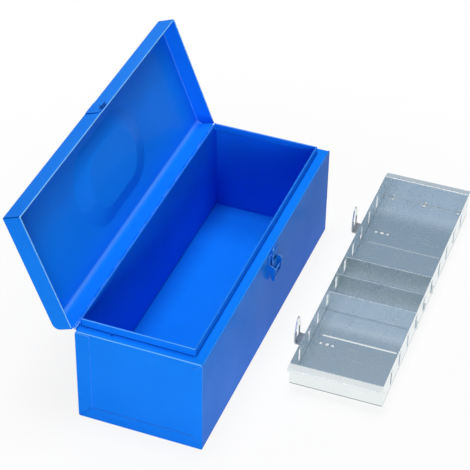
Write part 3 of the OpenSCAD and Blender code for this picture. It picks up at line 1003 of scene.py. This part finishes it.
@dataclass
class Lid:
    """Pressed lid with a hemmed rim, a soft rear bend and a dish for the handle."""

    rim: float = 0.1483
    depth: float = 0.027
    sheet: float = 0.001
    hem_depth: float = 0.0022
    hem_height: float = 0.006
    rear_bend: float = 0.0095
    rear_segments: int = 10
    bend: float = 0.002
    bend_segments: int = 4
    corner_angle: float = 1.0
    edge: float = 0.0002
    edge_segments: int = 2
    edge_angle: float = 50.0
    dish_length: float = 0.200
    dish_width: float = 0.116
    dish_depth: float = 0.0075
    dish_slope: float = 0.020
    dish_end_slope: float = 0.033
    dish_segments: int = 96
    # How far from its middle the dish counts, as a share of its size, and how far in and down the
    # rows of its lip lie.
    dish_reach: float = 0.55
    dish_lip: tuple[Span, ...] = ((-0.10, 0.0), (-0.05, 0.004), (0.0, 0.02), (0.06, 0.06))
    # Strength of the painted highlight on the rear bend.
    shine: float = 0.4
    # Shares of the rear bend's turn: where its painted highlight is strongest, how far that reaches,
    # what is still flat.
    shine_place: float = 0.25
    shine_spread: float = 0.35
    flat_share: float = 0.02
    # Largest upward part of an upright corner's normal, which gets painted shade, and y part of a side
    # of the catch, which gets painted shade.
    skirt_lean: float = 0.2
    catch_side: float = 0.3
    catch_edge: float = 0.0003
    half_length: float = field(init=False)
    half_width: float = field(init=False)
    top: float = field(init=False)
    fold: float = field(init=False)

    def __post_init__(self) -> None:
        """Take the plan of the lid from the box under it."""
        low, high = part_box("lid_shell")
        wall_low, wall_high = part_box("body_wrapper")
        self.half_length = (high.x - low.x) / 2.0
        self.half_width = (wall_high.y - wall_low.y) / 2.0
        self.top = self.rim + self.depth
        self.fold = self.rim + self.hem_depth / 2.0

    def build(self) -> None:
        """Make the shell and the catch plate."""
        shape = self._skirts()
        self._press_dish(shape)
        self._fold_rim(shape)
        bmesh.ops.recalc_face_normals(shape, faces=shape.faces)
        crown = max(shape.faces, key=lambda face: face.calc_center_median().z)
        if crown.normal.z < 0.0:
            bmesh.ops.reverse_faces(shape, faces=shape.faces)
        mark_tones(shape, skip=self._in_dish)
        self._grade_bends(shape)
        bmesh.ops.transform(shape, matrix=swung_open(), verts=shape.verts)
        shell = piece_from("lid_pressing", shape)
        give_wall(shell, self.sheet, True)
        soften(shell, self.edge, self.edge_segments, self.edge_angle)
        settle(shell, "lid", paint, "lid_shell")
        shut = swung_open().inverted()
        catch = copy_of_node("catch_plate", "catch_plate_pressing", self.catch_edge, upright=shut)
        turn = shut.to_3x3()
        # Painted shade on the catch plate's sides.
        tint(catch, lambda face: abs((turn @ face.normal).y) < self.catch_side, MOSTLY_PAINTED_SHADE)
        settle(catch, "lid", paint, "catch_plate")

    def _skirts(self) -> bmesh.types.BMesh:
        """Draw the top and the four skirts down to the fold of the rim.

        Returns:
            An open shell with its bends, with the top left out.
        """
        shape = bmesh.new()
        bmesh.ops.create_cube(shape, size=1.0)
        size = Vector((2.0 * self.half_length, 2.0 * self.half_width, self.top - self.fold))
        bmesh.ops.scale(shape, vec=size, verts=shape.verts)
        bmesh.ops.translate(shape, vec=(0.0, 0.0, (self.top + self.fold) / 2.0), verts=shape.verts)
        under = min(shape.faces, key=lambda face: face.normal.z)
        bmesh.ops.delete(shape, geom=[under], context="FACES_ONLY")
        back = edges_where(shape, lambda p: p.z > self.top - EPSILON and p.y > self.half_width - EPSILON)
        round_edges(shape, back, self.rear_bend, self.rear_segments)
        round_corners(shape, self.bend, self.bend_segments, self.corner_angle)
        crown = max(shape.faces, key=lambda face: face.normal.z * face.calc_area())
        bmesh.ops.delete(shape, geom=[crown], context="FACES_ONLY")
        return shape

    def _press_dish(self, shape: bmesh.types.BMesh) -> None:
        """Fill the top with a panel that goes down into the dish.

        Args:
            shape: Shell with its top open.
        """
        mouth = [e for e in shape.edges if e.is_boundary and mid(e).z > self.top - EPSILON]
        ring = bmesh.ops.create_circle(shape, cap_ends=False, segments=self.dish_segments, radius=1.0)
        corners = ring["verts"]
        half_step = Matrix.Rotation(math.pi / self.dish_segments, 3, "Z")
        bmesh.ops.rotate(shape, verts=corners, matrix=half_step)
        spokes = [(v.co.copy(), v) for v in corners]
        loop = edges_among(corners)
        rows = self._dish_rows()
        self._shape_row(spokes, *rows[0])
        bmesh.ops.triangle_fill(shape, use_beauty=True, edges=mouth + loop)
        for reach, drop in rows[1:]:
            fresh, loop = draw_edges(shape, loop)
            spokes = self._follow(spokes, fresh)
            self._shape_row(spokes, reach, drop)
        bmesh.ops.edgeloop_fill(shape, edges=loop)

    def _dish_rows(self) -> list[Span]:
        """Give how far in and how far down each row of the dish lies, as shares.

        Returns:
            The rows of the lip, and then those of the floor, which mirror them.
        """
        floor = [(1.0 - reach, 1.0 - drop) for reach, drop in reversed(self.dish_lip)]
        return [*self.dish_lip, *floor]

    def _shape_row(self, spokes: Spokes, reach: float, drop: float) -> None:
        """Put one row of the dish in its place.

        Args:
            spokes: Direction of each corner from its end of the dish, and the corner.
            reach: Share of the way from the mouth to the floor.
            drop: Share of the depth.
        """
        length = self.dish_length - 2.0 * reach * self.dish_end_slope
        width = self.dish_width - 2.0 * reach * self.dish_slope
        straight = (length - width) / 2.0
        for spoke, corner in spokes:
            corner.co.x = spoke.x * width / 2.0 + math.copysign(straight, spoke.x)
            corner.co.y = spoke.y * width / 2.0
            corner.co.z = self.top - drop * self.dish_depth

    @staticmethod
    def _follow(spokes: Spokes, fresh: Corners) -> Spokes:
        """Give each new corner the direction of the one it grew from.

        Args:
            spokes: Direction and corner of the row before.
            fresh: Corners that grew from that row.

        Returns:
            Direction and corner of the new row.
        """
        kept = {corner: spoke for spoke, corner in spokes}
        pairs = []
        for corner in fresh:
            others = (e.other_vert(corner) for e in corner.link_edges)
            parent = next(other for other in others if other in kept)
            pairs.append((kept[parent], corner))
        return pairs

    def _fold_rim(self, shape: bmesh.types.BMesh) -> None:
        """Fold the rim in and up at the front and the ends, and end it plain at the hinge.

        Args:
            shape: Shell whose rim is open.
        """
        rim = [e for e in shape.edges if e.is_boundary and mid(e).z < self.fold + EPSILON]
        behind = self.half_width - self.bend - EPSILON
        folded = [e for e in rim if mid(e).y < behind]
        for corner in draw_edges(shape, [e for e in rim if mid(e).y > behind])[0]:
            corner.co.z = self.rim
        radius = self.hem_depth / 2.0
        turns = [math.radians(angle) for angle in range(30, 181, 30)]
        steps = [(radius * (1.0 - math.cos(a)), self.fold - radius * math.sin(a)) for a in turns]
        steps.append((self.hem_depth, self.rim + self.hem_height))
        inset = 0.0
        for reach, height in steps:
            fresh, folded = draw_edges(shape, folded)
            for corner in fresh:
                self._move_in(corner.co, reach - inset)
                corner.co.z = height
            inset = reach

    def _grade_bends(self, shape: bmesh.types.BMesh) -> None:
        """Give the rim and the upper part of the rear bend a painted highlight, and the upright corners
        painted shade.

        Args:
            shape: Shell in its closed place, with its tones.
        """
        layer = shape.faces.layers.float[TONE]
        for face in shape.faces:
            if abs(face.normal.x) < EPSILON and face.calc_center_median().y > 0.0:
                share = math.atan2(face.normal.y, face.normal.z) / QUARTER
                if self.flat_share < share < 1.0 - self.flat_share:
                    away = abs(share - self.shine_place) / self.shine_spread
                    face[layer] = self.shine * max(0.0, 1.0 - away)
            elif face.normal.z < HIDDEN_DIP:
                face[layer] = WEAR_AND_HIGHLIGHT
            elif abs(face.normal.z) < self.skirt_lean and face[layer] > 0.0:
                face[layer] = PAINTED_SHADE

    def _in_dish(self, place: Vector) -> bool:
        """Say whether a point lies in the dish."""
        along, across = self.dish_reach * self.dish_length, self.dish_reach * self.dish_width
        return abs(place.x) < along and abs(place.y) < across

    def _move_in(self, place: Vector, step: float) -> None:
        """Move a point of the rim towards the inside of the lid.

        Args:
            place: The point, which is changed.
            step: How far it moves.
        """
        margin = self.bend + self.hem_depth + EPSILON
        if abs(place.x) > self.half_length - margin:
            place.x -= math.copysign(step, place.x)
        if place.y < margin - self.half_width:
            place.y += step


# ---------------------------------------------------------------- handle


@dataclass
class Handle:
    """Bent rod that hangs from two straps over its ends."""

    rod: float = 0.0035
    grip: float = 0.100
    reach: float = 0.044
    leg_bend: float = 0.008
    end_bend: float = 0.005
    sides: int = 24
    bend_steps: int = 8
    edge: float = 0.0006
    edge_angle: float = 60.0
    strap_edge: float = 0.0003
    segments: int = 3
    end: float = field(init=False)

    def __post_init__(self) -> None:
        """Take the length of the rod from the CAD rod."""
        low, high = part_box("carry_handle")
        self.end = (high.x - low.x) / 2.0

    def build(self) -> None:
        """Make the rod and its straps."""
        shape = self._half_rod()
        bmesh.ops.mirror(
            shape,
            geom=shape.verts[:] + shape.edges[:] + shape.faces[:],
            matrix=Matrix.Identity(4),
            merge_dist=EPSILON,
            axis="X",
        )
        bmesh.ops.remove_doubles(shape, verts=shape.verts, dist=EPSILON)
        bmesh.ops.recalc_face_normals(shape, faces=shape.faces)
        pivot = Matrix.Translation(joint("handle_pivot")["pos_m"])
        bmesh.ops.transform(shape, matrix=pivot @ Matrix.Rotation(QUARTER, 4, "X"), verts=shape.verts)
        rod = piece_from("bail_rod", shape)
        soften(rod, self.edge, self.segments, self.edge_angle)
        settle(rod, "handle", plating, "carry_handle")
        shut = swung_open().inverted()
        for node in ("handle_bracket_near", "handle_bracket_far"):
            strap = copy_of_node(node, f"{node}_strap", self.strap_edge, self.segments, shut)
            settle(strap, "lid", paint, node)

    def _half_rod(self) -> bmesh.types.BMesh:
        """Draw the rod out from the middle of its grip to one end, round both bends.

        Returns:
            Half of the rod, open in the middle of its grip, with its pivot at the origin.
        """
        shape = bmesh.new()
        circle = bmesh.ops.create_circle(shape, cap_ends=False, segments=self.sides, radius=self.rod)
        ring = circle["verts"]
        bmesh.ops.rotate(shape, verts=ring, matrix=Matrix.Rotation(QUARTER, 3, "Y"))
        bmesh.ops.translate(shape, verts=ring, vec=(0.0, -self.reach, 0.0))
        leg = self.grip / 2.0
        straight = leg - self.leg_bend
        ring = self._draw_out(shape, ring, (straight, 0.0, 0.0))
        ring = self._turn(shape, ring, (straight, self.leg_bend - self.reach, 0.0), QUARTER)
        ring = self._draw_out(shape, ring, (0.0, self.reach - self.leg_bend - self.end_bend, 0.0))
        ring = self._turn(shape, ring, (leg + self.end_bend, -self.end_bend, 0.0), -QUARTER)
        ring = self._draw_out(shape, ring, (self.end - leg - self.end_bend, 0.0, 0.0))
        bmesh.ops.edgeloop_fill(shape, edges=edges_among(ring))
        return shape

    @staticmethod
    def _draw_out(shape: bmesh.types.BMesh, ring: Corners, way: Point) -> Corners:
        """Draw the rod out in a straight line.

        Args:
            shape: The rod so far.
            ring: Corners of its open end.
            way: How far the end moves.

        Returns:
            Corners of the new end.
        """
        fresh, _ = draw_edges(shape, edges_among(ring))
        bmesh.ops.translate(shape, verts=fresh, vec=way)
        return fresh

    def _turn(self, shape: bmesh.types.BMesh, ring: Corners, centre: Point, angle: float) -> Corners:
        """Draw the rod out round a bend.

        Args:
            shape: The rod so far.
            ring: Corners of its open end.
            centre: Centre of the bend.
            angle: Angle of the bend, in radians.

        Returns:
            Corners of the new end.
        """
        spun = bmesh.ops.spin(
            shape,
            geom=ring + edges_among(ring),
            cent=centre,
            axis=(0.0, 0.0, 1.0),
            angle=angle,
            steps=self.bend_steps,
            use_merge=False,
        )
        return [part for part in spun["geom_last"] if isinstance(part, bmesh.types.BMVert)]


# ---------------------------------------------------------------- latch


@dataclass(frozen=True)
class Latch:
    """Draw latch: base with two ears, lever, slotted link and their rivets."""

    edge: float = 0.0005
    segments: int = 3
    shade: float = -0.55

    def build(self) -> None:
        """Make and dress the pieces of the latch, with painted shade on their ends and sides."""
        carried = {
            "latch_base": "box",
            "latch_pivot_rivets": "box",
            "latch_lever": "lever",
            "latch_link_pin": "lever",
            "latch_link": "link",
        }
        for node, body in carried.items():
            part = copy_of_node(node, f"{node}_part", self.edge, self.segments)
            # Painted shade on the faces that look along x or up.
            tint(part, lambda face: max(abs(face.normal.x), abs(face.normal.z)) > SLANT, self.shade)
            settle(part, body, paint, node)


# ---------------------------------------------------------------- tray


@dataclass
class Tray:
    """Spot-welded tray with a beaded floor, slotted walls and straps that carry two loops."""

    turn: float = math.radians(0.75)
    half_length: float = 0.2259
    half_width: float = 0.0658
    sheet: float = 0.0008
    edge: float = 0.00010
    edge_segments: int = 2
    edge_angle: float = 60.0
    loop_edge: float = 0.00035
    loop_segments: int = 3
    # Place along the tray and height of each bead.
    beads: tuple[Span, ...] = ((-0.116, 0.0007), (0.108, 0.00015))
    bead_half: float = 0.053
    bead_spread: float = 0.0022
    bead_cuts: int = 5
    strap_x: float = 0.134
    weld_rows: tuple[float, ...] = (0.0331, 0.0413, 0.0507, 0.0600)
    weld_radius: float = 0.0027
    # Radius of the dark ring, and width of the nugget's slope, as shares of the nugget's radius.
    weld_ring: float = 1.25
    weld_slope: float = 0.35
    weld_film: float = 0.0001
    weld_rise: float = 0.00035
    weld_sides: int = 24
    small_weld: float = 0.8
    end_weld_x: float = 0.221
    end_welds: tuple[float, ...] = (-0.053, 0.0, 0.050)
    top: float = field(init=False)
    stand: Matrix = field(init=False)

    def __post_init__(self) -> None:
        """Find where the tray stands."""
        low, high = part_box("tray_floor")
        self.top = high.z
        middle = (low + high) / 2.0
        self.stand = Matrix.Translation((middle.x, middle.y, 0.0)) @ Matrix.Rotation(self.turn, 4, "Z")

    def build(self) -> None:
        """Make and dress the tray, its dividers and its loops."""
        self._floor()
        self._welds()
        for node in ("tray_wall_front", "tray_wall_rear", "tray_end_near", "tray_end_far"):
            settle(copy_of_node(node, f"{node}_sheet", self.edge), "tray", zinc, node)
        for number, node in enumerate(("divider_near", "divider_middle", "divider_far"), 1):
            divider = copy_of_node(node, f"{node}_sheet", self.edge)
            # Painted highlight on the dividers' upward faces.
            tint(divider, lambda face: face.normal.z > SLANT, WEAR_AND_HIGHLIGHT)
            settle(divider, f"divider_{number}", zinc, node)
        for node in ("tray_loop_near", "tray_loop_far"):
            loop = copy_of_node(node, f"{node}_strap", self.loop_edge, self.loop_segments)
            # Painted shade on the loops' faces that look along x or up.
            tint(loop, lambda face: max(abs(face.normal.x), face.normal.z) > SLANT, MOSTLY_PAINTED_SHADE)
            settle(loop, "tray", zinc, node)

    def _floor(self) -> None:
        """Press the stiffening beads up out of the floor."""
        shape = bmesh.new()
        bmesh.ops.create_grid(shape, x_segments=1, y_segments=1, size=1.0)
        bmesh.ops.scale(shape, vec=(self.half_length, self.half_width, 1.0), verts=shape.verts)
        bmesh.ops.translate(shape, vec=(0.0, 0.0, self.top), verts=shape.verts)
        cuts = range(-self.bead_cuts, self.bead_cuts + 1)
        offsets = [self.bead_spread * step / self.bead_cuts for step in cuts]
        for bead, _ in self.beads:
            for offset in offsets:
                cut(shape, (bead + offset, 0.0, 0.0), (1.0, 0.0, 0.0))
        for side in (-self.bead_half, self.bead_half):
            for offset in offsets:
                cut(shape, (0.0, side + offset, 0.0), (0.0, 1.0, 0.0))
        for corner in shape.verts:
            past = (abs(corner.co.y) - self.bead_half) / self.bead_spread
            for bead, height in self.beads:
                across = (corner.co.x - bead) / self.bead_spread
                corner.co.z += height * swell(math.hypot(across, max(past, 0.0)))
        bmesh.ops.transform(shape, matrix=self.stand, verts=shape.verts)
        floor = piece_from("tray_floor_pressing", shape)
        give_wall(floor, self.sheet, False)
        soften(floor, self.edge, self.edge_segments, self.edge_angle)
        settle(floor, "tray", zinc, "tray_floor")

    def _welds(self) -> None:
        """Mark the spot welds of the straps and the end walls."""
        strap_welds = [(self.strap_x, row) for row in self.weld_rows]
        end_welds = [(self.end_weld_x, row) for row in self.end_welds]
        shape = bmesh.new()
        shape.faces.layers.float.new(TONE)
        for side in (-1.0, 1.0):
            for number, (x, y) in enumerate(strap_welds + end_welds):
                lift = self.top + (self.sheet if x > self.strap_x else 0.0)
                share = 1.0 if number % 2 else self.small_weld
                self._weld(shape, Vector((side * x, y, lift)), share * self.weld_radius)
        bmesh.ops.transform(shape, matrix=self.stand, verts=shape.verts)
        settle(piece_from("tray_spot_welds", shape), "tray", zinc)

    def _weld(self, shape: bmesh.types.BMesh, place: Vector, radius: float) -> None:
        """Raise one weld's nugget, with a painted highlight, out of its dark ring.

        Args:
            shape: Shape that holds all welds.
            place: Middle of the weld.
            radius: Radius of the nugget.
        """
        layer = shape.faces.layers.float[TONE]
        burnt = radius * self.weld_ring
        made = bmesh.ops.create_cone(
            shape,
            cap_ends=True,
            segments=self.weld_sides,
            radius1=burnt,
            radius2=burnt,
            depth=self.weld_film,
            matrix=Matrix.Translation(place),
        )
        faces = {face for corner in made["verts"] for face in corner.link_faces}
        crown = max(faces, key=lambda face: face.calc_center_median().z)
        for face in faces:
            face[layer] = PAINTED_SHADE
        bmesh.ops.inset_individual(shape, faces=[crown], thickness=burnt - radius)
        # Painted highlight on the nugget's top.
        crown[layer] = WEAR_AND_HIGHLIGHT
        slope = self.weld_slope * radius
        bmesh.ops.inset_individual(shape, faces=[crown], thickness=slope, depth=self.weld_rise)


def main() -> None:
    """Build the studio and every sub-assembly."""
    logging.basicConfig(level=logging.INFO, format="%(message)s")
    Viewpoint().place()
    Studio().build()
    Box().build()
    Hinge().build()
    Lid().build()
    Handle().build()
    Latch().build()
    Tray().build()


if __name__ == "__main__":
    main()
